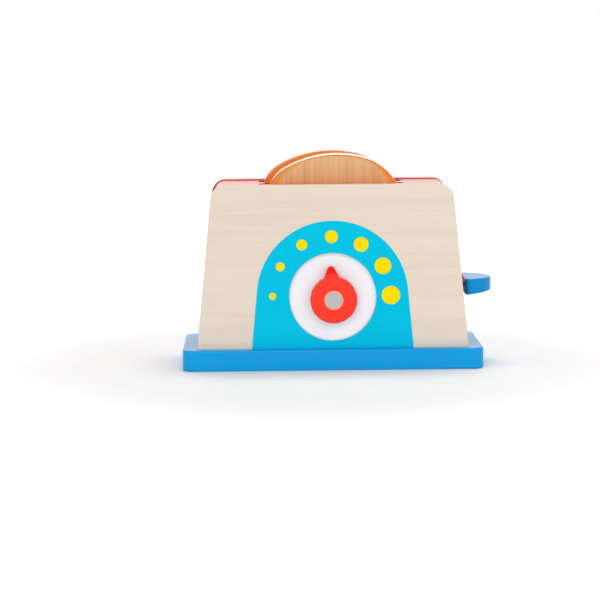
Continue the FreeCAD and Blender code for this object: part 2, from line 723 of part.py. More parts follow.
def make_knob():
    """A round knob with a pointer, a well for the bolt's head and a bore; its own axis runs along Y."""
    body = new_body("dial_knob", "Sizes.axis_shift", "-Sizes.body_depth / 2 - Sizes.knob_proud",
                    "Places.axis_height")
    turn(body, (0, -1, 0), size("pointer_rest_angle"))
    body.setExpression("Placement.Rotation.Angle", "Sizes.pointer_rest_angle")
    outline = new_sketch(body, "XZ_Plane", "knob_outline")
    circle(outline, "Sizes.knob_radius")
    disc = pad(body, outline, "Places.knob_thickness", "knob_disc", True)
    finger = new_sketch(body, "XZ_Plane", "pointer_outline")
    draw_pointer(finger)
    whole = pad(body, finger, "Places.knob_thickness", "knob_pointer", True)
    fillet(body, whole, lambda edge: lies_at(edge, "y", 0.0), "Sizes.knob_edge_radius", "knob_edges")
    well = new_sketch(body, "XZ_Plane", "knob_well")
    circle(well, "Sizes.knob_well_radius")
    pocket(body, well, "Sizes.knob_well_depth", "knob_well_cut", False)
    bore = new_sketch(body, "XZ_Plane", "knob_bore")
    circle(bore, "Sizes.bolt_radius + Sizes.running_clearance")
    pocket(body, bore, "Places.knob_thickness", "knob_bore_cut", False)
    node(body, "dial_knob")


def draw_pointer(sketch):
    """The pointer: two straight flanks from inside the disc that run smoothly into a round tip."""
    half = size("pointer_half_width")
    foot = size("pointer_foot")
    tip_radius = size("pointer_tip_radius")
    tip_centre = size("pointer_reach") - tip_radius
    reach = math.hypot(half, tip_centre - foot)
    lean = math.asin(tip_radius / reach) + math.atan2(half, tip_centre - foot)
    side = FreeCAD.Vector(tip_radius * math.cos(lean), tip_centre + tip_radius * math.sin(lean), 0)
    other_side = FreeCAD.Vector(-side.x, side.y, 0)
    tip = FreeCAD.Vector(0, size("pointer_reach"), 0)
    right_foot, left_foot = FreeCAD.Vector(half, foot, 0), FreeCAD.Vector(-half, foot, 0)
    curves = [Part.LineSegment(right_foot, side), Part.Arc(side, tip, other_side),
              Part.LineSegment(other_side, left_foot), Part.LineSegment(left_foot, right_foot)]
    right, round_tip, left, sole = [sketch.addGeometry(curve, False) for curve in curves]
    sketch.addConstraint(Sketcher.Constraint("Tangent", right, 2, round_tip, 1))
    sketch.addConstraint(Sketcher.Constraint("Tangent", round_tip, 2, left, 1))
    sketch.addConstraint(Sketcher.Constraint("Coincident", left, 2, sole, 1))
    sketch.addConstraint(Sketcher.Constraint("Coincident", sole, 2, right, 1))
    sketch.addConstraint(Sketcher.Constraint("PointOnObject", round_tip, 3, -2))
    fix_point(sketch, right, 1, "Sizes.pointer_half_width", "Sizes.pointer_foot")
    fix_point(sketch, left, 2, "-Sizes.pointer_half_width", "Sizes.pointer_foot")
    fix_size(sketch, "Radius", round_tip, None, "Sizes.pointer_tip_radius")
    fix_size(sketch, "DistanceY", round_tip, 3, "Sizes.pointer_reach - Sizes.pointer_tip_radius")


def make_dial_bolt():
    """The bolt that the knob turns on, with its washers and nut."""
    head_face = "-Sizes.body_depth / 2 - Sizes.knob_proud + Sizes.knob_well_depth - Sizes.stop_clearance"
    head = cylinder("bolt_head", "Sizes.bolt_head_radius", "Sizes.bolt_head_height",
                    "Sizes.axis_shift", head_face + " - Sizes.bolt_head_height", "Places.axis_height", "Y")
    shank = cylinder("bolt_shank", "Sizes.bolt_radius", "Places.bolt_reach",
                     "Sizes.axis_shift", head_face, "Places.axis_height", "Y")
    node(fuse("bolt", head, shank), "dial_bolt")
    for name, y in (("dial_washer", "Places.knob_back"), ("inner_washer", "-Places.inner_half_depth")):
        disc = cylinder(name + "_disc", "Sizes.washer_radius", "Sizes.washer_thickness",
                        "Sizes.axis_shift", y, "Places.axis_height", "Y")
        hole = cylinder(name + "_hole", "Sizes.bolt_radius", "Sizes.washer_thickness",
                        "Sizes.axis_shift", y, "Places.axis_height", "Y")
        node(cut(name, disc, hole), name)
    nut = doc.addObject("Part::Prism", "nut_prism")
    nut.Polygon = 6
    bind(nut, Circumradius="Sizes.nut_across_flats / sqrt(3)", Height="Sizes.nut_thickness")
    turn(nut, (1, 0, 0), -90)
    nut_face = "-Places.inner_half_depth + Sizes.washer_thickness"
    place(nut, "Sizes.axis_shift", nut_face, "Places.axis_height")
    hole = cylinder("nut_hole", "Sizes.bolt_radius", "Sizes.nut_thickness",
                    "Sizes.axis_shift", nut_face, "Places.axis_height", "Y")
    node(cut("nut", nut, hole), "dial_nut")


# Printed scale: an arch of colour round the recess and a row of growing dots
def make_scale_print():
    body = new_body("scale_print", "-Sizes.arch_shift", "-Sizes.body_depth / 2 - Sizes.print_thickness",
                    "Sizes.base_thickness")
    outline = new_sketch(body, "XZ_Plane", "arch_outline")
    radius = size("arch_radius")
    flare = math.radians(size("arch_flare_angle"))
    height = size("arch_height")
    touch = FreeCAD.Vector(radius * math.cos(flare), height + radius * math.sin(flare), 0)
    foot_x = size("arch_foot")
    left_foot, right_foot = FreeCAD.Vector(-foot_x, 0, 0), FreeCAD.Vector(foot_x, 0, 0)
    left_touch = FreeCAD.Vector(-touch.x, touch.y, 0)
    crown = outline.addGeometry(Part.Arc(touch, FreeCAD.Vector(0, height + radius, 0), left_touch), False)
    legs = [outline.addGeometry(Part.LineSegment(start, end), False)
            for start, end in ((left_touch, left_foot), (left_foot, right_foot), (right_foot, touch))]
    outline.addConstraint(Sketcher.Constraint("Tangent", crown, 2, legs[0], 1))
    outline.addConstraint(Sketcher.Constraint("Coincident", legs[0], 2, legs[1], 1))
    outline.addConstraint(Sketcher.Constraint("Coincident", legs[1], 2, legs[2], 1))
    outline.addConstraint(Sketcher.Constraint("Tangent", legs[2], 2, crown, 1))
    outline.addConstraint(Sketcher.Constraint("PointOnObject", legs[0], 2, -1))
    outline.addConstraint(Sketcher.Constraint("PointOnObject", legs[2], 1, -1))
    outline.addConstraint(Sketcher.Constraint("PointOnObject", crown, 3, -2))
    fix_size(outline, "Radius", crown, None, "Sizes.arch_radius")
    fix_size(outline, "DistanceY", crown, 3, "Places.arch_height")
    fix_size(outline, "DistanceX", legs[2], 1, "Places.arch_foot")
    fix_size(outline, "DistanceX", legs[0], 2, "-Places.arch_foot")
    pad(body, outline, "Sizes.print_thickness", "arch_film", True)
    # The film's own window sits a little above the recess, and the recess is cut through both
    for name, x, z in (("arch_window", "0", "Places.arch_height"),
                       ("recess_window", "Sizes.arch_shift", "Sizes.dial_height")):
        window = new_sketch(body, "XZ_Plane", name)
        circle(window, "Sizes.recess_radius", x, z)
        pocket(body, window, "Sizes.print_thickness", name + "_cut", False)
    node(body, "scale_print")


def make_dot_print():
    dots = []
    count = int(round(size("dot_count")))
    for number in range(count):
        angle = "(180 - 180 * %d / (Sizes.dot_count - 1)) * 1 deg" % number
        radius = "Sizes.first_dot_radius + %d * Sizes.dot_radius_step" % number
        x = "Sizes.dot_circle_radius * cos(%s) - Sizes.dot_shift" % angle
        z = "Places.dial_centre + Sizes.dot_rise + Sizes.dot_circle_radius * sin(%s)" % angle
        dots.append(cylinder("dot_%d" % (number + 1), radius, "Sizes.print_thickness",
                             x, "-Sizes.body_depth / 2 - 2 * Sizes.print_thickness", z, "Y"))
    node(group("dot_set", *dots), "dot_print")


# Slices of bread
def make_slice(name, height, lane_start, shift):
    """A slice with a domed top: a wide crown arc between two shoulder arcs, and rounded feet."""
    body = new_body(name, shift, lane_start, "Places.slice_foot")
    outline = new_sketch(body, "XZ_Plane", name + "_outline")
    half = size("slice_width") / 2
    top = number_of(height)
    crown = size("crown_radius")
    crown_x = size("crown_offset")
    crown_y = top - crown
    foot = size("slice_foot_radius")
    left, right = size("left_shoulder_radius"), size("right_shoulder_radius")

    def shoulder(side, radius):
        """The shoulder arc's centre and the point where it meets the crown."""
        x = side * (half - radius)
        y = crown_y + math.sqrt((crown - radius) ** 2 - (x - crown_x) ** 2)
        centre = FreeCAD.Vector(x, y, 0)
        away = centre - FreeCAD.Vector(crown_x, crown_y, 0)
        away.normalize()
        return centre, FreeCAD.Vector(crown_x, crown_y, 0) + away * crown, away

    left_centre, left_meet, left_way = shoulder(-1, left)
    right_centre, right_meet, right_way = shoulder(1, right)

    def between(centre, radius, first, second):
        way = first + second
        way.normalize()
        return centre + way * radius

    vector = FreeCAD.Vector
    left_way_out, right_way_out, down = vector(-1, 0, 0), vector(1, 0, 0), vector(0, -1, 0)
    left_top, right_top = vector(-half, left_centre.y, 0), vector(half, right_centre.y, 0)
    left_low, right_low = vector(-half, foot, 0), vector(half, foot, 0)
    left_sole, right_sole = vector(-half + foot, 0, 0), vector(half - foot, 0, 0)
    left_foot_centre, right_foot_centre = vector(-half + foot, foot, 0), vector(half - foot, foot, 0)
    curves = [
        Part.Arc(right_top, between(right_centre, right, right_way_out, right_way), right_meet),
        Part.Arc(right_meet, vector(crown_x, top, 0), left_meet),
        Part.Arc(left_meet, between(left_centre, left, left_way_out, left_way), left_top),
        Part.LineSegment(left_top, left_low),
        Part.Arc(left_low, between(left_foot_centre, foot, left_way_out, down), left_sole),
        Part.LineSegment(left_sole, right_sole),
        Part.Arc(right_sole, between(right_foot_centre, foot, right_way_out, down), right_low),
        Part.LineSegment(right_low, right_top),
    ]
    lines = [outline.addGeometry(curve, False) for curve in curves]
    right_arc, crown_arc, left_arc, left_side, left_foot, sole, right_foot, right_side = lines
    for first, second in zip(lines, lines[1:] + lines[:1]):
        outline.addConstraint(Sketcher.Constraint("Tangent", first, 2, second, 1))
    outline.addConstraint(Sketcher.Constraint("Vertical", left_side))
    outline.addConstraint(Sketcher.Constraint("Vertical", right_side))
    outline.addConstraint(Sketcher.Constraint("PointOnObject", sole, 1, -1))
    outline.addConstraint(Sketcher.Constraint("PointOnObject", sole, 2, -1))
    rules = (
        ("Radius", right_arc, None, "Sizes.right_shoulder_radius"),
        ("Radius", crown_arc, None, "Sizes.crown_radius"),
        ("Radius", left_arc, None, "Sizes.left_shoulder_radius"),
        ("Radius", left_foot, None, "Sizes.slice_foot_radius"),
        ("Radius", right_foot, None, "Sizes.slice_foot_radius"),
        ("DistanceX", left_side, 1, "-Places.slice_width / 2"),
        ("DistanceX", right_side, 1, "Places.slice_width / 2"),
        ("DistanceX", crown_arc, 3, "Sizes.crown_offset"),
        ("DistanceY", crown_arc, 3, height + " - Sizes.crown_radius"),
    )
    for kind, geometry, vertex, formula in rules:
        fix_size(outline, kind, geometry, vertex, formula)
    board = pad(body, outline, "Sizes.slice_thickness", name + "_board", True)
    thickness = size("slice_thickness")
    fillet(body, board, lambda edge: lies_at(edge, "y", 0.0) or lies_at(edge, "y", thickness),
           "Sizes.slice_edge_radius", name + "_edges")
    node(body, name)


def make_slices():
    make_slice("toast_front", "Sizes.front_slice_height", "Places.front_lane_start",
               "Sizes.front_slice_shift")
    make_slice("toast_rear", "Sizes.rear_slice_height", "Places.lane_start", "Sizes.rear_slice_shift")


def check_document():
    doc.recompute()
    for item in doc.Objects:
        if "Invalid" in item.State or "Error" in item.State:
            raise RuntimeError("%s failed: %s" % (item.Name, item.State))
    for item in NODES:
        if item.Shape.isNull() or not item.Shape.isValid():
            raise RuntimeError("%s has no valid shape" % item.Label)


def export_nodes():
    os.makedirs("parts", exist_ok=True)
    for item in NODES:
        item.Shape.exportStep("parts/%s.step" % item.Label)


make_base_board()
make_panels()
make_end_boards()
make_top_board()
make_lane_divider()
make_guide_rods()
make_springs()
make_carriage()
make_stops()
make_glue_blocks()
make_base_screws()
make_lever()
make_dial_plate()
make_knob()
make_dial_bolt()
make_scale_print()
make_dot_print()
make_slices()
check_document()
export_nodes()
print(len(NODES), "nodes")
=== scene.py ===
import math

import bmesh
import bpy
from mathutils import Matrix, Vector


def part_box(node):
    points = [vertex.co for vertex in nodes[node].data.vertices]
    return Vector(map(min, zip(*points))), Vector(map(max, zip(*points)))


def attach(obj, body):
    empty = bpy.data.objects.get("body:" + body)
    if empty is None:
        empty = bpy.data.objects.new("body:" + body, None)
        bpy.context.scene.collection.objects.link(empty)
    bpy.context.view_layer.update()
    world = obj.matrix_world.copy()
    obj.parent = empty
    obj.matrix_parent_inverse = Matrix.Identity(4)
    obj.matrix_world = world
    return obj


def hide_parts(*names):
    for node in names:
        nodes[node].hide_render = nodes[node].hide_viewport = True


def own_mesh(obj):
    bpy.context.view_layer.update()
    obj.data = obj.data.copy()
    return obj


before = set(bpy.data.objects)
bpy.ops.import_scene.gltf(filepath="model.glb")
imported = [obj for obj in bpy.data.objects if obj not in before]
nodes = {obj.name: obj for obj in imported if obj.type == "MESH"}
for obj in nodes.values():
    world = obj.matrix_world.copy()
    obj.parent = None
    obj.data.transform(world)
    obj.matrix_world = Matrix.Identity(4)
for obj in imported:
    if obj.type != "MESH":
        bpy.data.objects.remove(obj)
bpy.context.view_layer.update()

MM = 0.001
ALONG_X = 0
ALONG_Y = 1
ALONG_Z = 2

# Camera, fitted to the photograph's edges: metres, degrees and pixels of a 600 by 600 image
IMAGE_WIDTH = 600
CAMERA_PLACE = (-0.0564, -1.6113, 0.2413)
CAMERA_FOCAL_PIXELS = 2224.4
CAMERA_PITCH = 6.941
CAMERA_YAW = 1.1995
CAMERA_ROLL = -0.4569
SENSOR_WIDTH = 36.0
CLIP_START = 0.05
CLIP_END = 50.0

# Studio, in metres and watts
FLOOR_SIZE = 6.0
FLOOR_GLOW_START = 0.16
FLOOR_GLOW_END = 0.60
FLOOR_GLOW_NEAR = 0.04
WORLD_SEEN = 1.0
WORLD_LIGHT = 0.46
LIGHT_TARGET = (0, 0, 0.07)
KEY_PLACE = (-0.35, -1.7, 0.6)
KEY_SIZE = (1.2, 1.2)
KEY_POWER = 11.0
FILL_PLACE = (0.9, -1.3, 0.5)
FILL_SIZE = (0.9, 0.9)
FILL_POWER = 3.8
TOP_PLACE = (0.1, 0.25, 1.2)
TOP_SIZE = (0.8, 0.4)
TOP_POWER = 6.0
BACK_PLACE = (0.2, 1.7, 0.7)
BACK_SIZE = (1.2, 1.0)
BACK_POWER = 9.0

# A low index keeps the colours deep head-on and still turns pale at a grazing look
PAINT_INDEX = 1.22


def colour(red, green, blue):
    """A colour given as it looks on screen, 0 to 255, as the shader's linear values."""
    def linear(value):
        value = value / 255
        return value / 12.92 if value <= 0.04045 else ((value + 0.055) / 1.055) ** 2.4
    return (linear(red), linear(green), linear(blue), 1.0)


def clamp(value):
    return min(max(value, 0.0), 1.0)


# Material building
# The colour sockets of a Mix node, which also has sockets for numbers and vectors
MIX_FACTOR = 0
MIX_FIRST = 6
MIX_SECOND = 7
MIX_RESULT = 2


class Graph:
    """A material whose nodes are added one by one."""

    def __init__(self, name, **shader_values):
        self.material = bpy.data.materials.new(name)
        self.material.use_nodes = True
        self.tree = self.material.node_tree
        self.tree.nodes.clear()
        self.output = self.tree.nodes.new("ShaderNodeOutputMaterial")
        self.shader = self.tree.nodes.new("ShaderNodeBsdfPrincipled")
        self.join(self.shader.outputs["BSDF"], self.output.inputs["Surface"])
        for key, value in shader_values.items():
            self.shader.inputs[key.replace("_", " ")].default_value = value
        self.place = self.tree.nodes.new("ShaderNodeTexCoord").outputs["Object"]

    def join(self, source, target):
        self.tree.links.new(source, target)

    def feed(self, target, value):
        if isinstance(value, bpy.types.NodeSocket):
            self.join(value, target)
        else:
            target.default_value = value

    def stretch(self, scale, offset=(0, 0, 0)):
        """The place on the object, scaled per axis and shifted."""
        node = self.tree.nodes.new("ShaderNodeMapping")
        self.join(self.place, node.inputs["Vector"])
        node.inputs["Scale"].default_value = scale
        node.inputs["Location"].default_value = offset
        return node.outputs["Vector"]

    def noise(self, vector, detail=3.0, roughness=0.5, distortion=0.0):
        node = self.tree.nodes.new("ShaderNodeTexNoise")
        self.join(vector, node.inputs["Vector"])
        node.inputs["Scale"].default_value = 1.0
        node.inputs["Detail"].default_value = detail
        node.inputs["Roughness"].default_value = roughness
        node.inputs["Distortion"].default_value = distortion
        return node.outputs["Fac"]

    def speckle(self, scale, detail=2.0, roughness=0.5, distortion=0.0):
        """Noise of the same scale, per metre, along every axis."""
        return self.noise(self.stretch((scale, scale, scale)), detail, roughness, distortion)

    def math(self, operation, first, second=0.0):
        node = self.tree.nodes.new("ShaderNodeMath")
        node.operation = operation
        self.feed(node.inputs[0], first)
        self.feed(node.inputs[1], second)
        return node.outputs[0]

    def split(self, vector):
        node = self.tree.nodes.new("ShaderNodeSeparateXYZ")
        self.join(vector, node.inputs[0])
        return node.outputs

    def range(self, value, low, high, new_low=0.0, new_high=1.0):
        """A value eased from one range to another, and held beyond its ends."""
        node = self.tree.nodes.new("ShaderNodeMapRange")
        node.interpolation_type = "SMOOTHSTEP"
        self.feed(node.inputs["Value"], value)
        node.inputs["From Min"].default_value = low
        node.inputs["From Max"].default_value = high
        node.inputs["To Min"].default_value = new_low
        node.inputs["To Max"].default_value = new_high
        return node.outputs["Result"]

    def ramp(self, value, *stops):
        node = self.tree.nodes.new("ShaderNodeValToRGB")
        self.feed(node.inputs[0], value)
        steps = node.color_ramp.elements
        while len(steps) < len(stops):
            steps.new(0.5)
        for step, (position, shade) in zip(steps, stops):
            step.position = position
            step.color = shade
        return node.outputs["Color"]

    def mix(self, factor, first, second):
        node = self.tree.nodes.new("ShaderNodeMix")
        node.data_type = "RGBA"
        self.feed(node.inputs[MIX_FACTOR], factor)
        self.feed(node.inputs[MIX_FIRST], first)
        self.feed(node.inputs[MIX_SECOND], second)
        return node.outputs[MIX_RESULT]

    def attribute(self, name):
        node = self.tree.nodes.new("ShaderNodeAttribute")
        node.attribute_name = name
        return node.outputs["Fac"]

    def normal_along(self, axis):
        """How far the surface faces an axis of the object, -1 to 1."""
        node = self.tree.nodes.new("ShaderNodeTexCoord")
        return self.split(node.outputs["Normal"])[axis]

    def normal_axis(self, axis):
        """How squarely the surface faces along an axis of the object, either way, 0 to 1."""
        return self.math("ABSOLUTE", self.normal_along(axis))

    def radius_about(self, axis_x, axis_z):
        """The distance from an axis that runs front to back."""
        place = self.split(self.place)
        across = self.math("SUBTRACT", place[ALONG_X], axis_x)
        up = self.math("SUBTRACT", place[ALONG_Z], axis_z)
        across_squared = self.math("MULTIPLY", across, across)
        up_squared = self.math("MULTIPLY", up, up)
        return self.math("SQRT", self.math("ADD", across_squared, up_squared))

    def bump(self, height, strength, distance):
        node = self.tree.nodes.new("ShaderNodeBump")
        node.inputs["Strength"].default_value = strength
        node.inputs["Distance"].default_value = distance
        self.feed(node.inputs["Height"], height)
        self.join(node.outputs["Normal"], self.shader.inputs["Normal"])

    def paint(self, value):
        self.feed(self.shader.inputs["Base Color"], value)

    def gloss(self, value):
        self.feed(self.shader.inputs["Roughness"], value)


# Bands are this much coarser than fibres, across the grain and along it
BAND_ACROSS = 0.16
BAND_ALONG = 0.45
BAND_OFFSET = (3.1, 0.7, 1.9)


def grain(graph, along, fine, slow):
    """Wood fibres and slower bands that run along one axis, as scales per metre."""
    scale = [fine, fine, fine]
    scale[along] = slow
    fibres = graph.noise(graph.stretch(tuple(scale)), 4.0, 0.62, 0.4)
    scale = [fine * BAND_ACROSS, fine * BAND_ACROSS, fine * BAND_ACROSS]
    scale[along] = slow * BAND_ALONG
    bands = graph.noise(graph.stretch(tuple(scale), BAND_OFFSET), 3.0, 0.5, 1.2)
    return fibres, bands


# Materials
VENEER_FINE = 520.0
VENEER_SLOW = 11.0
PLY_COUNT = 5
# How far below the panels' top edge the red of their inner faces stops
RED_RIM_GAP = 0.6 * MM
# The white of the recess's wall ends between these distances outside the dial plate
RECESS_WHITE_START = 0.3 * MM
RECESS_WHITE_END = 0.8 * MM


def ply_layers(graph, low_y, thickness):
    """The share of dark, end-grain ply at a depth through the board, with a slight waver."""
    depth = graph.split(graph.place)[ALONG_Y]
    layer = graph.math("MULTIPLY", graph.math("SUBTRACT", depth, low_y), PLY_COUNT / thickness)
    wobble = graph.speckle(60)
    layer = graph.math("ADD", layer, graph.range(wobble, 0.3, 0.7, -0.10, 0.10))
    which = graph.math("MODULO", layer, 2.0)
    off_middle = graph.math("ABSOLUTE", graph.math("SUBTRACT", which, 1.5))
    return graph.range(off_middle, 0.44, 0.54, 1.0, 0.0)


def plywood(name, low_y, thickness, top, inner_way, recess_centre, recess_radius):
    """Clear-finished plywood: pale face veneer with level grain, and stacked plies on its edges.

    The inner face, which looks along inner_way on y, is red like the roof it meets, and the wall
    of the dial's recess is painted white.
    """
    graph = Graph(name, Roughness=0.42, IOR=PAINT_INDEX)
    fibres, bands = grain(graph, ALONG_X, VENEER_FINE, VENEER_SLOW)
    face = graph.ramp(bands, (0.25, colour(223, 206, 190)), (0.5, colour(229, 213, 197)),
                      (0.8, colour(232, 217, 201)))
    streaks = graph.range(fibres, 0.50, 0.78, 0.0, 0.26)
    face = graph.mix(streaks, face, colour(208, 186, 163))
    end_grain = ply_layers(graph, low_y, thickness)
    specks = graph.speckle(900, 2.0, 0.7)
    dark_ply = graph.ramp(specks, (0.3, colour(176, 134, 98)), (0.7, colour(206, 168, 130)))
    light_ply = graph.ramp(fibres, (0.3, colour(216, 186, 152)), (0.7, colour(232, 208, 178)))
    edge = graph.mix(end_grain, light_ply, dark_ply)
    in_recess = graph.range(graph.radius_about(*recess_centre), recess_radius + RECESS_WHITE_START,
                            recess_radius + RECESS_WHITE_END, 1.0, 0.0)
    edge = graph.mix(in_recess, edge, colour(224, 226, 230))
    squarely = graph.range(graph.normal_axis(ALONG_Y), 0.55, 0.75)
    inner_side = graph.math("MULTIPLY", graph.normal_along(ALONG_Y), inner_way)
    height = graph.split(graph.place)[ALONG_Z]
    below_rim = graph.range(height, top - RED_RIM_GAP, top - RED_RIM_GAP / 2, 1.0, 0.0)
    inner_face = graph.math("MULTIPLY", graph.range(inner_side, 0.6, 0.8), below_rim)
    skin = graph.mix(inner_face, face, colour(212, 92, 96))
    graph.paint(graph.mix(squarely, edge, skin))
    graph.gloss(graph.math("ADD", graph.range(fibres, 0.3, 0.7, -0.06, 0.06),
                           graph.range(squarely, 0.0, 1.0, 0.24, 0.45)))
    graph.bump(graph.math("ADD", fibres, graph.math("MULTIPLY", specks, 0.4)), 0.18, 0.00012)
    return graph.material


def gloss_paint(name, body, shadow, along=ALONG_X, index=PAINT_INDEX):
    """Brushed-on gloss paint over wood: an even colour with a hint of the grain beneath."""
    graph = Graph(name, Roughness=0.12, IOR=index)
    fibres, bands = grain(graph, along, 300.0, 10.0)
    graph.paint(graph.mix(graph.range(bands, 0.3, 0.75, 0.0, 0.4), body, shadow))
    peel = graph.speckle(260)
    graph.gloss(graph.range(peel, 0.3, 0.7, 0.096, 0.162))
    graph.bump(graph.math("ADD", graph.math("MULTIPLY", fibres, 0.5), peel), 0.10, 0.00012)
    return graph.material


def bare_wood(name, light, dark, along=ALONG_X):
    graph = Graph(name, Roughness=0.62)
    fibres, bands = grain(graph, along, 360.0, 9.0)
    tone = graph.mix(graph.range(bands, 0.3, 0.7), light, dark)
    graph.paint(graph.mix(graph.range(fibres, 0.5, 0.8, 0.0, 0.5), tone, dark))
    graph.gloss(graph.range(fibres, 0.3, 0.7, 0.55, 0.7))
    graph.bump(fibres, 0.25, 0.00015)
    return graph.material


def screen_print(name, body, shadow):
    """An ink film: even colour, satin, with the veneer's level grain showing faintly in its surface."""
    graph = Graph(name, Roughness=0.36, IOR=1.11)
    fibres, bands = grain(graph, ALONG_X, VENEER_FINE, VENEER_SLOW)
    graph.paint(graph.mix(graph.range(bands, 0.3, 0.8, 0.0, 0.5), body, shadow))
    graph.gloss(graph.range(fibres, 0.3, 0.7, 0.30, 0.42))
    graph.bump(fibres, 0.14, 0.0001)
    return graph.material


def metal(name, shade, roughness):
    graph = Graph(name, Metallic=1.0, Roughness=roughness)
    marks = graph.speckle(900.0, 3.0, 0.6)
    dark = tuple(part * 0.82 for part in shade[:3]) + (1.0,)
    graph.paint(graph.mix(graph.range(marks, 0.3, 0.7), shade, dark))
    graph.gloss(graph.range(marks, 0.3, 0.7, roughness * 0.8, roughness * 1.3))
    graph.bump(marks, 0.12, 0.00005)
    return graph.material


def felt(name):
    graph = Graph(name, Roughness=0.95, Sheen_Weight=0.4)
    hairs = graph.speckle(1500, 5.0, 0.7, 1.5)
    graph.paint(graph.ramp(hairs, (0.3, colour(52, 50, 56)), (0.7, colour(92, 90, 98))))
    graph.bump(hairs, 0.8, 0.0003)
    return graph.material


def dial_white():
    graph = Graph("white_paint", Roughness=0.32, IOR=1.4)
    cloud = graph.speckle(70, 3.0)
    graph.paint(graph.ramp(cloud, (0.3, colour(236, 240, 245)), (0.7, colour(243, 246, 249))))
    peel = graph.speckle(500)
    graph.gloss(graph.range(peel, 0.3, 0.7, 0.26, 0.38))
    graph.bump(peel, 0.08, 0.0001)
    return graph.material


KNOB_WELL_RADIUS = 6.7 * MM
KNOB_WELL_BLEND_START = -0.05 * MM
KNOB_WELL_BLEND_END = 0.15 * MM
# Painted shade: the pointer turns a deeper red between these distances from the axis
POINTER_SHADE_START = 17.5 * MM
POINTER_SHADE_END = 20.5 * MM
BARE_WELL_ROUGHNESS = (0.6, 0.6, 0.6, 1)


def knob_red(axis_x, axis_height):
    """Gloss red, with painted shade deepening the pointer's tip, and the bare wood of the drilled well in
    its middle.
    """
    graph = Graph("knob_paint", Roughness=0.2, IOR=PAINT_INDEX)
    radius = graph.radius_about(axis_x, axis_height)
    fibres, bands = grain(graph, ALONG_Z, 420.0, 12.0)
    wood = graph.mix(graph.range(fibres, 0.4, 0.75), colour(252, 208, 170), colour(228, 176, 134))
    red = graph.mix(graph.range(bands, 0.3, 0.8, 0.0, 0.5), colour(255, 60, 44), colour(246, 50, 36))
    # Painted shade: a deeper red towards the pointer's tip
    red = graph.mix(graph.range(radius, POINTER_SHADE_START, POINTER_SHADE_END), red, colour(240, 8, 6))
    painted = graph.range(radius, KNOB_WELL_RADIUS + KNOB_WELL_BLEND_START,
                          KNOB_WELL_RADIUS + KNOB_WELL_BLEND_END)
    graph.paint(graph.mix(painted, wood, red))
    peel = graph.speckle(300)
    graph.gloss(graph.mix(painted, BARE_WELL_ROUGHNESS, graph.range(peel, 0.3, 0.7, 0.16, 0.26)))
    graph.bump(graph.math("ADD", graph.math("MULTIPLY", fibres, 0.4), peel), 0.10, 0.00012)
    return graph.material


# The slices' faces are paler above and darker towards the bottom, and the crust goes from golden to orange
# from left to right
PALER_LOW = 0.124
PALER_HIGH = 0.142
GOLDEN_END = -22 * MM
ORANGE_START = 18 * MM


def toast_wood(name, left_crust):
    """Lacquered wood with upright grain, and an orange-brown crust that fades into the face, with a painted
    highlight on the upward-facing rounded edges and a painted shade line beneath it.
    """
    graph = Graph(name, Roughness=0.28, IOR=1.3, Coat_Weight=1.0, Coat_Roughness=0.05, Coat_IOR=1.3)
    fibres, bands = grain(graph, ALONG_Z, 900.0, 13.0)
    fine_lines = graph.noise(graph.stretch((2200, 2200, 7), (5.3, 2.2, 0.4)), 2.0)
    place = graph.split(graph.place)
    paler_above = graph.range(place[ALONG_Z], PALER_LOW, PALER_HIGH)
    pale = graph.mix(paler_above, colour(226, 166, 102), colour(228, 178, 124))
    deep = graph.mix(paler_above, colour(218, 152, 88), colour(220, 166, 110))
    face = graph.mix(graph.range(bands, 0.30, 0.72), pale, deep)
    face = graph.mix(graph.range(fibres, 0.50, 0.72, 0.0, 0.40), face, colour(198, 136, 80))
    face = graph.mix(graph.range(fine_lines, 0.48, 0.66, 0.0, 0.34), face, colour(176, 114, 62))
    rim = graph.attribute("rim_distance")
    ragged = graph.math("ADD", rim, graph.range(bands, 0.2, 0.8, -0.3, 0.3))
    share = graph.math("DIVIDE", ragged, graph.attribute("crust_width"))
    orange = graph.ramp(share, (0.0, colour(236, 108, 6)), (0.35, colour(242, 132, 4)),
                        (0.9, colour(228, 158, 52)))
    golden = graph.ramp(share, (0.0, colour(232, 116, 8)), (0.35, left_crust), (0.9, colour(216, 164, 64)))
    crust = graph.mix(graph.range(place[ALONG_X], GOLDEN_END, ORANGE_START), golden, orange)
    # Painted shade: a dark brown line just inside the rim, under the painted highlight, where the rim faces
    # upwards
    shade_line = graph.math("MULTIPLY", graph.attribute("painted_shade_line"), graph.range(rim, 0.3, 1.3, 0.95, 0.0))
    crust = graph.mix(shade_line, crust, colour(140, 78, 30))
    kept = graph.range(share, 0.35, 1.1, 1.0, 0.0)
    painted = graph.mix(kept, face, crust)
    # Painted highlight: the upward-facing rounded edges turn cream-white
    graph.paint(graph.mix(graph.attribute("painted_highlight"), painted, colour(255, 242, 228)))
    graph.gloss(graph.range(fibres, 0.3, 0.7, 0.24, 0.36))
    graph.bump(fibres, 0.12, 0.0001)
    return graph.material


# Dressing the carried-over solids
def dress(material, *names):
    for name in names:
        for slot in nodes[name].material_slots:
            slot.material = material


def dress_panels():
    front_low, front_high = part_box("front_panel")
    rear_low, rear_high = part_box("rear_panel")
    plate_low, plate_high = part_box("dial_plate")
    plate_centre = ((plate_low.x + plate_high.x) / 2, (plate_low.z + plate_high.z) / 2)
    plate_radius = (plate_high.x - plate_low.x) / 2
    front_plywood = plywood("front_plywood", front_low.y, front_high.y - front_low.y, front_high.z,
                            1.0, plate_centre, plate_radius)
    # The rear panel has no recess
    rear_plywood = plywood("rear_plywood", rear_low.y, rear_high.y - rear_low.y, rear_high.z,
                           -1.0, plate_centre, 0.0)
    dress(front_plywood, "front_panel")
    dress(rear_plywood, "rear_panel")


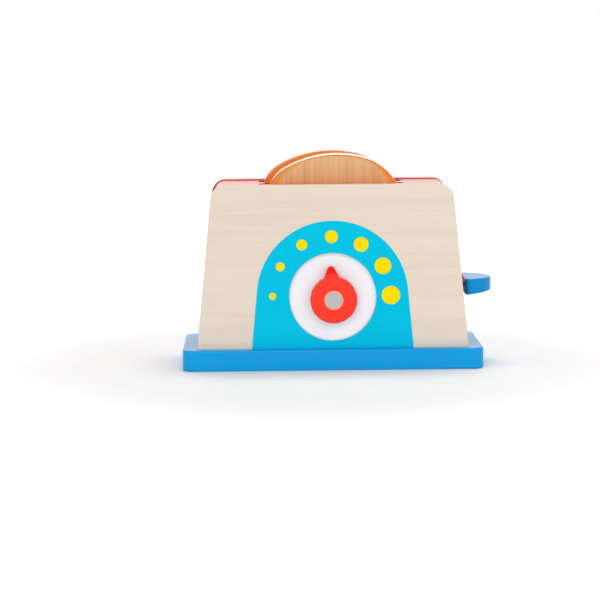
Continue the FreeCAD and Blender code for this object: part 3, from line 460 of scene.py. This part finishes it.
def dress_painted_boards():
    dress(gloss_paint("blue_paint", colour(0, 160, 224), colour(0, 146, 214), index=1.26), "base_board")
    dress(gloss_paint("red_paint", colour(214, 32, 30), colour(190, 20, 22)),
          "left_end_board", "right_end_board")
    dress(gloss_paint("roof_paint", colour(222, 40, 38), colour(204, 26, 28), index=1.5), "top_board")
    dress(gloss_paint("lever_paint", colour(0, 146, 212), colour(0, 130, 204), ALONG_Y), "lever_paddle")


def dress_inside():
    dress(bare_wood("inner_wood", colour(222, 190, 148), colour(196, 156, 112)),
          "lane_divider", "carriage_board", "lever_arm", "glue_blocks", "stop_blocks")
    dress(bare_wood("dowel_wood", colour(226, 196, 156), colour(198, 160, 116), ALONG_Z),
          "guide_rod_left", "guide_rod_right", "arm_pins")
    dress(felt("dark_felt"), "stop_felts")
    dress(metal("zinc", colour(190, 194, 198), 0.34), "base_screws", "inner_washer", "dial_nut")


def dress_dial():
    dress(metal("bolt_metal", colour(170, 174, 178), 0.42), "dial_bolt")
    dress(dial_white(), "dial_plate")
    dress(screen_print("washer_fibre", colour(150, 118, 96), colour(132, 100, 80)), "dial_washer")
    dress(screen_print("cyan_print", colour(0, 194, 226), colour(0, 184, 220)), "scale_print")
    dress(screen_print("yellow_print", colour(250, 221, 0), colour(248, 212, 0)), "dot_print")
    washer_low, washer_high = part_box("dial_washer")
    axis_x = (washer_low.x + washer_high.x) / 2
    axis_height = (washer_low.z + washer_high.z) / 2
    dress(knob_red(axis_x, axis_height), "dial_knob")


# Meshes made of rings of points
def join_rings(work, rings):
    """Faces between each ring and the next, and a cap on the first and the last."""
    count = len(rings[0])
    for first, second in zip(rings, rings[1:]):
        for index in range(count):
            following = (index + 1) % count
            work.faces.new((first[index], second[index], second[following], first[following]))
    work.faces.new(rings[0])
    work.faces.new(list(reversed(rings[-1])))


def piece_from(work, name, material, sharp_angle):
    """A piece from a finished work mesh, smooth but for the edges sharper than an angle."""
    bmesh.ops.recalc_face_normals(work, faces=work.faces)
    mesh = bpy.data.meshes.new(name)
    work.to_mesh(mesh)
    work.free()
    piece = bpy.data.objects.new(name, mesh)
    bpy.context.scene.collection.objects.link(piece)
    mesh.materials.append(material)
    mesh.polygons.foreach_set("use_smooth", [True] * len(mesh.polygons))
    mesh.set_sharp_from_angle(angle=math.radians(sharp_angle))
    return piece


# Slices: the same outline as the solids, as a mesh whose rim distance is known
SLICE_CROWN_RADIUS = 78 * MM
SLICE_CROWN_OFFSET = 2 * MM
SLICE_LEFT_RADIUS = 24 * MM
SLICE_RIGHT_RADIUS = 35 * MM
SLICE_FOOT_RADIUS = 8 * MM
SLICE_EDGE_RADIUS = 1.8 * MM
SLICE_SHARP_ANGLE = 50
CROWN_STEPS = 64
SHOULDER_STEPS = 24
SIDE_STEPS = 24
FOOT_CORNER_STEPS = 12
FOOT_STEPS = 32
# Rings deeper than the foot's rounding draw in to the middle of the slice instead of being inset
DEEPEST_INSET = 7.4 * MM
DRAW_IN_LENGTH = 40 * MM
# Depths of the rings on a slice's face, in millimetres from its rounded edge
FACE_STEPS = (0.4, 0.8, 1.4, 2.2, 3.2, 4.4, 5.6, 8.0, 16.0)
EDGE_ANGLES = range(0, 100, 10)
FLAT_START = 0.5 * MM
# Crust widths in millimetres: at the sides, and above on the front and rear slices
SIDE_CRUST = 8.0
FRONT_TOP_CRUST = 2.2
REAR_TOP_CRUST = 4.4


def arc_points(centre, radius, start, end, count):
    """Points along an arc, angles in radians from +X towards +Z."""
    return [centre + Vector((math.cos(start + (end - start) * step / count),
                             math.sin(start + (end - start) * step / count))) * radius
            for step in range(count)]


def slice_outline(width, height):
    """The closed outline of a slice in its own XZ plane, origin at the middle of its foot."""
    half = width / 2
    crown_centre = Vector((SLICE_CROWN_OFFSET, height - SLICE_CROWN_RADIUS))

    def shoulder(side, radius):
        x = side * (half - radius)
        rise = math.sqrt((SLICE_CROWN_RADIUS - radius) ** 2 - (x - crown_centre.x) ** 2)
        return Vector((x, crown_centre.y + rise))

    right, left = shoulder(1, SLICE_RIGHT_RADIUS), shoulder(-1, SLICE_LEFT_RADIUS)
    right_angle = math.atan2(right.y - crown_centre.y, right.x - crown_centre.x)
    left_angle = math.atan2(left.y - crown_centre.y, left.x - crown_centre.x)
    foot = SLICE_FOOT_RADIUS
    foot_line = width - 2 * foot
    outline = arc_points(right, SLICE_RIGHT_RADIUS, 0, right_angle, SHOULDER_STEPS)
    outline += arc_points(crown_centre, SLICE_CROWN_RADIUS, right_angle, left_angle, CROWN_STEPS)
    outline += arc_points(left, SLICE_LEFT_RADIUS, left_angle, math.pi, SHOULDER_STEPS)
    outline += [Vector((-half, left.y + (foot - left.y) * step / SIDE_STEPS)) for step in range(SIDE_STEPS)]
    outline += arc_points(Vector((-half + foot, foot)), foot, math.pi, 1.5 * math.pi, FOOT_CORNER_STEPS)
    outline += [Vector((-half + foot + foot_line * step / FOOT_STEPS, 0)) for step in range(FOOT_STEPS)]
    outline += arc_points(Vector((half - foot, foot)), foot, 1.5 * math.pi, 2 * math.pi, FOOT_CORNER_STEPS)
    outline += [Vector((half, foot + (right.y - foot) * step / SIDE_STEPS)) for step in range(SIDE_STEPS)]
    return outline


def outward_ways(outline):
    """The outward normal at every point of an anticlockwise outline."""
    count = len(outline)
    tangents = [(outline[(index + 1) % count] - outline[index - 1]).normalized() for index in range(count)]
    return [Vector((tangent.y, -tangent.x)) for tangent in tangents]


def inset(outline, distance):
    """The outline moved inwards by a distance, point by point along its normals."""
    return [point - way * distance for point, way in zip(outline, outward_ways(outline))]


def slice_ring(outline, depth, middle):
    ring = inset(outline, min(depth, DEEPEST_INSET))
    shrink = 1 - max(depth - DEEPEST_INSET, 0.0) / DRAW_IN_LENGTH
    return [middle + (point - middle) * shrink for point in ring]


def slice_profile(thickness):
    """Each ring's depth inside the outline, its place behind the front face, and how much painted highlight
    it carries.
    """
    edge = SLICE_EDGE_RADIUS
    front = [(edge + step * MM, 0.0, 0.0) for step in reversed(FACE_STEPS)]
    for degrees in EDGE_ANGLES:
        angle = math.radians(degrees)
        # Painted highlight: the upper part of the rounded edge turns cream-white
        pale = clamp((degrees - 25) / 15)
        front.append((edge * (1 - math.sin(angle)), edge * (1 - math.cos(angle)), pale))
    front.append((0.0, edge + FLAT_START, 0.0))
    back = [(depth, thickness - y, pale) for depth, y, pale in reversed(front)]
    return front + back


def build_slice(node, body, material, top_crust, painted_shade_line):
    low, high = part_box(node)
    outline = slice_outline(high.x - low.x, high.z - low.z)
    centre_x = (low.x + high.x) / 2
    half = (high.x - low.x) / 2
    middle = Vector((0, (high.z - low.z) / 2))
    edge = SLICE_EDGE_RADIUS
    work = bmesh.new()
    rim = work.verts.layers.float.new("rim_distance")
    crust = work.verts.layers.float.new("crust_width")
    highlight_layer = work.verts.layers.float.new("painted_highlight")
    shade_line = work.verts.layers.float.new("painted_shade_line")
    rises = [max(way.y, 0.0) for way in outward_ways(outline)]
    rings = []
    for depth, y, pale in slice_profile(high.y - low.y):
        on_face = 1.0 if depth > 0.4 * edge else 0.0
        ring = []
        for point, rise in zip(slice_ring(outline, depth, middle), rises):
            vertex = work.verts.new((centre_x + point.x, low.y + y, low.z + point.y))
            sideways = clamp((abs(point.x) / half - 0.5) / 0.45)
            vertex[rim] = max(depth - edge * 0.35, 0.0) / MM
            vertex[crust] = top_crust + (SIDE_CRUST - top_crust) * sideways
            # Painted highlight, only where the rim faces upwards
            vertex[highlight_layer] = pale * clamp((rise - 0.45) / 0.3)
            # Painted shade line under the painted highlight, on the slice given one
            vertex[shade_line] = rise * painted_shade_line * (1 - pale) * on_face
            ring.append(vertex)
        rings.append(ring)
    join_rings(work, rings)
    piece = piece_from(work, node + "_wood", material, SLICE_SHARP_ANGLE)
    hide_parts(node)
    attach(piece, body)


def build_slices():
    front_wood = toast_wood("front_toast_wood", colour(220, 148, 22))
    rear_wood = toast_wood("rear_toast_wood", colour(248, 136, 8))
    build_slice("toast_front", "front_slice", front_wood, FRONT_TOP_CRUST, 1.0)
    build_slice("toast_rear", "rear_slice", rear_wood, REAR_TOP_CRUST, 0.0)


# Springs: the same wire as the solids, as a coiled mesh
SPRING_TURNS = 9
SPRING_WIRE_RADIUS = 0.45 * MM
SPRING_STEPS_PER_TURN = 32
SPRING_SHARP_ANGLE = 60
WIRE_SIDES = 10


def spring_ring(work, centre, outward, across):
    """The points round the wire at one place along it."""
    ring = []
    for side in range(WIRE_SIDES):
        turn = 2 * math.pi * side / WIRE_SIDES
        way = outward * math.cos(turn) + across * math.sin(turn)
        ring.append(work.verts.new(centre + way * SPRING_WIRE_RADIUS))
    return ring


def build_spring(node, material):
    low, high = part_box(node)
    axis = Vector(((low.x + high.x) / 2, (low.y + high.y) / 2))
    # The coil's own radius: half the box's depth, less the wire's own half
    coil = (high.y - low.y) / 2 - SPRING_WIRE_RADIUS
    foot = low.z + SPRING_WIRE_RADIUS
    rise = high.z - low.z - 2 * SPRING_WIRE_RADIUS
    climb = rise / (2 * math.pi * SPRING_TURNS)
    steps = SPRING_TURNS * SPRING_STEPS_PER_TURN
    work = bmesh.new()
    rings = []
    for step in range(steps + 1):
        angle = 2 * math.pi * step / SPRING_STEPS_PER_TURN
        outward = Vector((math.cos(angle), math.sin(angle), 0))
        centre = Vector((axis.x, axis.y, foot + rise * step / steps)) + outward * coil
        along = Vector((-math.sin(angle) * coil, math.cos(angle) * coil, climb))
        across = along.normalized().cross(outward)
        rings.append(spring_ring(work, centre, outward, across))
    join_rings(work, rings)
    piece = piece_from(work, node + "_wire", material, SPRING_SHARP_ANGLE)
    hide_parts(node)
    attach(piece, "housing")
    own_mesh(piece)


def build_springs():
    material = metal("spring_steel", colour(176, 178, 182), 0.28)
    build_spring("spring_left", material)
    build_spring("spring_right", material)


# Studio
def add_camera():
    data = bpy.data.cameras.new("photo_camera")
    data.sensor_width = SENSOR_WIDTH
    data.lens = CAMERA_FOCAL_PIXELS / IMAGE_WIDTH * data.sensor_width
    data.clip_start = CLIP_START
    data.clip_end = CLIP_END
    camera = bpy.data.objects.new("photo_camera", data)
    bpy.context.scene.collection.objects.link(camera)
    aim = (Matrix.Rotation(-math.radians(CAMERA_YAW), 4, "Z")
           @ Matrix.Rotation(math.radians(90 - CAMERA_PITCH), 4, "X")
           @ Matrix.Rotation(math.radians(CAMERA_ROLL), 4, "Z"))
    camera.matrix_world = Matrix.Translation(CAMERA_PLACE) @ aim
    bpy.context.scene.camera = camera


def add_floor():
    """A white floor that keeps the object's shadow and, seen by the camera, glows further away."""
    mesh = bpy.data.meshes.new("studio_floor")
    half = FLOOR_SIZE / 2
    corner_places = [(-half, -half, 0), (half, -half, 0), (half, half, 0), (-half, half, 0)]
    mesh.from_pydata(corner_places, [], [(0, 1, 2, 3)])
    floor = bpy.data.objects.new("studio_floor", mesh)
    bpy.context.scene.collection.objects.link(floor)
    graph = Graph("floor_white", Roughness=0.9)
    graph.paint(graph.ramp(graph.speckle(30), (0.0, (0.86, 0.86, 0.86, 1)), (1.0, (0.90, 0.90, 0.90, 1))))
    seen = graph.tree.nodes.new("ShaderNodeLightPath")
    away = graph.tree.nodes.new("ShaderNodeVectorMath")
    away.operation = "LENGTH"
    graph.join(graph.place, away.inputs[0])
    glow = graph.range(away.outputs["Value"], FLOOR_GLOW_START, FLOOR_GLOW_END, FLOOR_GLOW_NEAR, 1.0)
    seen_glow = graph.math("MULTIPLY", seen.outputs["Is Camera Ray"], glow)
    graph.shader.inputs["Emission Color"].default_value = (1, 1, 1, 1)
    graph.join(seen_glow, graph.shader.inputs["Emission Strength"])
    mesh.materials.append(graph.material)


def add_world():
    """White to the camera and in reflections, and dimmer as a light."""
    world = bpy.data.worlds.new("studio")
    bpy.context.scene.world = world
    world.use_nodes = True
    tree = world.node_tree
    tree.nodes.clear()
    output = tree.nodes.new("ShaderNodeOutputWorld")
    background = tree.nodes.new("ShaderNodeBackground")
    path = tree.nodes.new("ShaderNodeLightPath")
    seen = tree.nodes.new("ShaderNodeMath")
    seen.operation = "MAXIMUM"
    tree.links.new(path.outputs["Is Camera Ray"], seen.inputs[0])
    tree.links.new(path.outputs["Is Glossy Ray"], seen.inputs[1])
    either = tree.nodes.new("ShaderNodeMath")
    either.operation = "MAXIMUM"
    tree.links.new(seen.outputs[0], either.inputs[0])
    tree.links.new(path.outputs["Is Transmission Ray"], either.inputs[1])
    strength = tree.nodes.new("ShaderNodeMapRange")
    strength.inputs["To Min"].default_value = WORLD_LIGHT
    strength.inputs["To Max"].default_value = WORLD_SEEN
    tree.links.new(either.outputs[0], strength.inputs["Value"])
    background.inputs["Color"].default_value = (1, 1, 1, 1)
    tree.links.new(strength.outputs["Result"], background.inputs["Strength"])
    tree.links.new(background.outputs[0], output.inputs["Surface"])


def add_lamp(name, place, size, power):
    data = bpy.data.lights.new(name, "AREA")
    data.shape = "RECTANGLE"
    data.size, data.size_y = size
    data.energy = power
    lamp = bpy.data.objects.new(name, data)
    bpy.context.scene.collection.objects.link(lamp)
    lamp.location = place
    lamp.rotation_euler = (Vector(LIGHT_TARGET) - Vector(place)).to_track_quat("-Z", "Y").to_euler()
    return lamp


def add_lights():
    add_lamp("key_softbox", KEY_PLACE, KEY_SIZE, KEY_POWER)
    add_lamp("fill_softbox", FILL_PLACE, FILL_SIZE, FILL_POWER)
    add_lamp("top_softbox", TOP_PLACE, TOP_SIZE, TOP_POWER)
    # Lights the back, and stays out of the reflections in the level tops
    back = add_lamp("back_softbox", BACK_PLACE, BACK_SIZE, BACK_POWER)
    back.visible_glossy = False


add_camera()
add_floor()
add_world()
add_lights()
dress_panels()
dress_painted_boards()
dress_inside()
dress_dial()
build_slices()
build_springs()
bpy.context.scene.view_settings.view_transform = "Standard"
